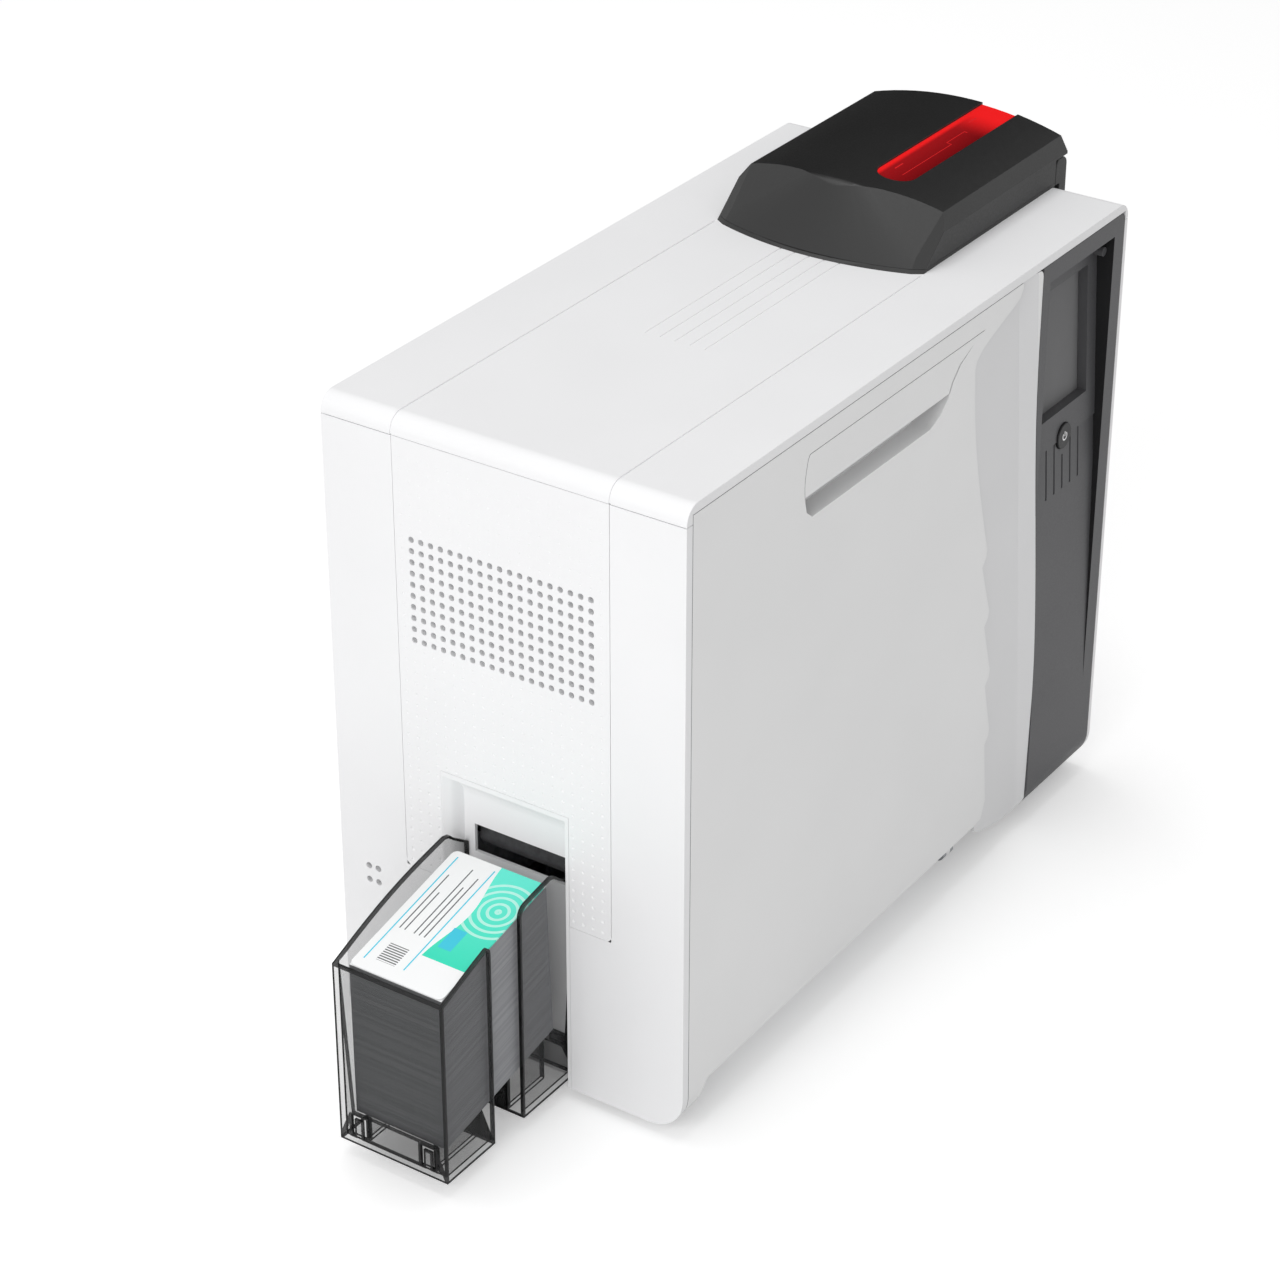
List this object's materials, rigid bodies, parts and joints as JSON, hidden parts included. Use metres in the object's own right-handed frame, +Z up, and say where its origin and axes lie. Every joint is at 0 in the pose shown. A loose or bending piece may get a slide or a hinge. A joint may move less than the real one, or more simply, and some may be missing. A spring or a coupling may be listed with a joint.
{
  "type": "id card printer",
  "caption": "Desktop plastic card printer with a top card feeder, drop-down front door, control panel and clip-on smoked output hopper.",
  "frame": {"origin": "on the table plane under the middle of the whole machine with its hopper", "axes": "+X runs from the output hopper to the control panel, +Y from the door to the back, +Z up"},
  "size_m": [0.5222, 0.205, 0.3785],
  "materials": {
    "white_plastic": "satin",
    "grey_plastic": "satin",
    "dark_grey_plastic": "satin",
    "black_plastic": "satin",
    "display_glass": "gloss",
    "red_clear_plastic": "gloss",
    "smoked_clear_plastic": "gloss",
    "card_plastic": "gloss",
    "sheet_steel": "brushed",
    "roller_rubber": "matte",
    "cleaning_rubber": "satin",
    "silicone_rubber": "satin",
    "dye_ribbon": "gloss",
    "clear_film": "gloss",
    "head_aluminium": "cast",
    "gear_brass": "machined",
    "circuit_board": "satin"
  },
  "bodies": {
    "casing": {"top_cover": "white_plastic", "left_end_panel": "white_plastic", "vent_panel": "white_plastic", "card_exit_chute": "white_plastic", "right_end_panel": "white_plastic", "rear_panel": "white_plastic", "base_pan": "sheet_steel", "rubber_feet": "roller_rubber", "door_hinge_pins": "sheet_steel", "control_panel": "dark_grey_plastic", "lcd_display": "display_glass", "control_board": "circuit_board", "feeder_base": "black_plastic", "lid_hinge_block": "black_plastic", "lid_hinge_pin": "sheet_steel", "card_shaft": "black_plastic", "blank_cards": "card_plastic", "chassis_plate": "sheet_steel", "bearing_plate": "sheet_steel", "tie_bars": "sheet_steel", "guide_bars": "sheet_steel", "head_pivot": "sheet_steel", "ribbon_web": "dye_ribbon", "film_web": "clear_film", "drive_motor": "black_plastic", "drive_belt": "roller_rubber", "pick_belt": "roller_rubber", "main_board": "circuit_board", "power_supply": "sheet_steel", "fan_frame": "black_plastic", "inlet_socket": "black_plastic", "data_ports": "sheet_steel", "panel_screws": "sheet_steel"},
    "door": {"front_door": "grey_plastic"},
    "latch_flap": {"door_latch_flap": "grey_plastic"},
    "feeder_lid": {"feeder_lid": "black_plastic", "feeder_window": "red_clear_plastic"},
    "card_weight": {"card_weight": "black_plastic"},
    "power_button": {"power_button": "black_plastic"},
    "hopper": {"output_hopper": "smoked_clear_plastic", "printed_card_stack": "card_plastic", "printed_card": "card_plastic"},
    "print_head": {"print_head": "head_aluminium"},
    "fan_rotor": {"fan_rotor": "black_plastic"},
    "transport_roller": {"transport_roller": "roller_rubber"},
    "feed_roller": {"feed_roller": "roller_rubber"},
    "exit_roller": {"exit_roller": "roller_rubber"},
    "pick_roller": {"pick_roller": "roller_rubber"},
    "transport_idler": {"transport_idler": "roller_rubber"},
    "exit_idler": {"exit_idler": "roller_rubber"},
    "cleaning_roller": {"cleaning_roller": "cleaning_rubber"},
    "card_platen": {"card_platen": "roller_rubber"},
    "heat_roller": {"heat_roller": "silicone_rubber"},
    "print_platen": {"print_platen": "roller_rubber"},
    "film_supply": {"film_supply": "clear_film"},
    "film_takeup": {"film_takeup": "clear_film"},
    "ribbon_supply": {"ribbon_supply": "dye_ribbon"},
    "ribbon_takeup": {"ribbon_takeup": "dye_ribbon"},
    "motor_pinion": {"motor_pinion": "gear_brass"}
  },
  "joints": [
    {"name": "door_hinge", "type": "hinge", "parent": "casing", "child": "door", "pos_m": [-0.1294, -0.0925, 0.0215], "axis": [1, 0, 0], "range_deg": [0, 90]},
    {"name": "latch_flap_hinge", "type": "hinge", "parent": "door", "child": "latch_flap", "pos_m": [0.0206, -0.0995, 0.328], "axis": [-1, 0, 0], "range_deg": [0, 7], "stiffness_Nm_per_rad": 0.4},
    {"name": "feeder_lid_hinge", "type": "hinge", "parent": "casing", "child": "feeder_lid", "pos_m": [0.2561, 0, 0.357], "axis": [0, 1, 0], "range_deg": [0, 90]},
    {"name": "card_weight_slide", "type": "slide", "parent": "casing", "child": "card_weight", "axis": [0, 0, 1], "range_m": [0, 0.15]},
    {"name": "power_button_press", "type": "slide", "parent": "casing", "child": "power_button", "axis": [0, 1, 0], "range_m": [0, 0.0012], "stiffness_N_per_m": 400},
    {"name": "hopper_unhook", "type": "slide", "parent": "casing", "child": "hopper", "axis": [-1, 0, 0], "range_m": [0, 0.025]},
    {"name": "print_head_lift", "type": "hinge", "parent": "casing", "child": "print_head", "pos_m": [0.01655, -0.0037, 0.27073], "axis": [0, 1, 0], "range_deg": [0, 8]},
    {"name": "fan_spin", "type": "hinge", "parent": "casing", "child": "fan_rotor", "pos_m": [-0.1494, 0.0025, 0.2594], "axis": [1, 0, 0], "continuous": true},
    {"name": "transport_roller_spin", "type": "hinge", "parent": "casing", "child": "transport_roller", "pos_m": [-0.06332, -0.0037, 0.12512], "axis": [0, 1, 0], "continuous": true},
    {"name": "feed_roller_spin", "type": "hinge", "parent": "casing", "child": "feed_roller", "pos_m": [0.09848, -0.0037, 0.12512], "axis": [0, 1, 0], "continuous": true},
    {"name": "exit_roller_spin", "type": "hinge", "parent": "casing", "child": "exit_roller", "pos_m": [-0.14338, -0.0037, 0.12512], "axis": [0, 1, 0], "continuous": true},
    {"name": "pick_roller_spin", "type": "hinge", "parent": "casing", "child": "pick_roller", "pos_m": [0.1781, -0.0037, 0.12162], "axis": [0, 1, 0], "continuous": true},
    {"name": "transport_idler_spin", "type": "hinge", "parent": "casing", "child": "transport_idler", "pos_m": [-0.06332, -0.0037, 0.13888], "axis": [0, 1, 0], "continuous": true},
    {"name": "exit_idler_spin", "type": "hinge", "parent": "casing", "child": "exit_idler", "pos_m": [-0.14338, -0.0037, 0.13888], "axis": [0, 1, 0], "continuous": true},
    {"name": "cleaning_roller_spin", "type": "hinge", "parent": "casing", "child": "cleaning_roller", "pos_m": [0.09848, -0.0037, 0.13888], "axis": [0, 1, 0], "continuous": true},
    {"name": "card_platen_spin", "type": "hinge", "parent": "casing", "child": "card_platen", "pos_m": [0.01674, -0.0037, 0.12182], "axis": [0, 1, 0], "continuous": true},
    {"name": "heat_roller_spin", "type": "hinge", "parent": "casing", "child": "heat_roller", "pos_m": [0.01674, -0.0037, 0.14418], "axis": [0, 1, 0], "continuous": true},
    {"name": "print_platen_spin", "type": "hinge", "parent": "casing", "child": "print_platen", "pos_m": [-0.01745, -0.0037, 0.21903], "axis": [0, 1, 0], "continuous": true},
    {"name": "film_supply_spin", "type": "hinge", "parent": "casing", "child": "film_supply", "pos_m": [-0.10293, -0.0037, 0.2108], "axis": [0, 1, 0], "continuous": true},
    {"name": "film_takeup_spin", "type": "hinge", "parent": "casing", "child": "film_takeup", "pos_m": [0.0868, -0.0037, 0.20908], "axis": [0, 1, 0], "continuous": true},
    {"name": "ribbon_supply_spin", "type": "hinge", "parent": "casing", "child": "ribbon_supply", "pos_m": [-0.06957, -0.0037, 0.29141], "axis": [0, 1, 0], "continuous": true},
    {"name": "ribbon_takeup_spin", "type": "hinge", "parent": "casing", "child": "ribbon_takeup", "pos_m": [0.0451, -0.0037, 0.29141], "axis": [0, 1, 0], "continuous": true},
    {"name": "motor_pinion_spin", "type": "hinge", "parent": "casing", "child": "motor_pinion", "pos_m": [-0.04472, -0.0037, 0.09535], "axis": [0, 1, 0], "continuous": true}
  ],
  "couplings": [
    {"joint": "feed_roller_spin", "follows": "transport_roller_spin", "ratio": 1},
    {"joint": "exit_roller_spin", "follows": "transport_roller_spin", "ratio": 1},
    {"joint": "pick_roller_spin", "follows": "transport_roller_spin", "ratio": 1},
    {"joint": "transport_idler_spin", "follows": "transport_roller_spin", "ratio": -1.1667},
    {"joint": "exit_idler_spin", "follows": "transport_roller_spin", "ratio": -1.1667},
    {"joint": "cleaning_roller_spin", "follows": "transport_roller_spin", "ratio": -1.1667},
    {"joint": "card_platen_spin", "follows": "transport_roller_spin", "ratio": 0.7},
    {"joint": "heat_roller_spin", "follows": "transport_roller_spin", "ratio": -0.63636},
    {"joint": "print_platen_spin", "follows": "transport_roller_spin", "ratio": 0.58333},
    {"joint": "film_supply_spin", "follows": "transport_roller_spin", "ratio": 0.25},
    {"joint": "film_takeup_spin", "follows": "transport_roller_spin", "ratio": -0.38889},
    {"joint": "ribbon_supply_spin", "follows": "transport_roller_spin", "ratio": -0.26923},
    {"joint": "ribbon_takeup_spin", "follows": "transport_roller_spin", "ratio": -0.41176},
    {"joint": "motor_pinion_spin", "follows": "transport_roller_spin", "ratio": -3}
  ]
}
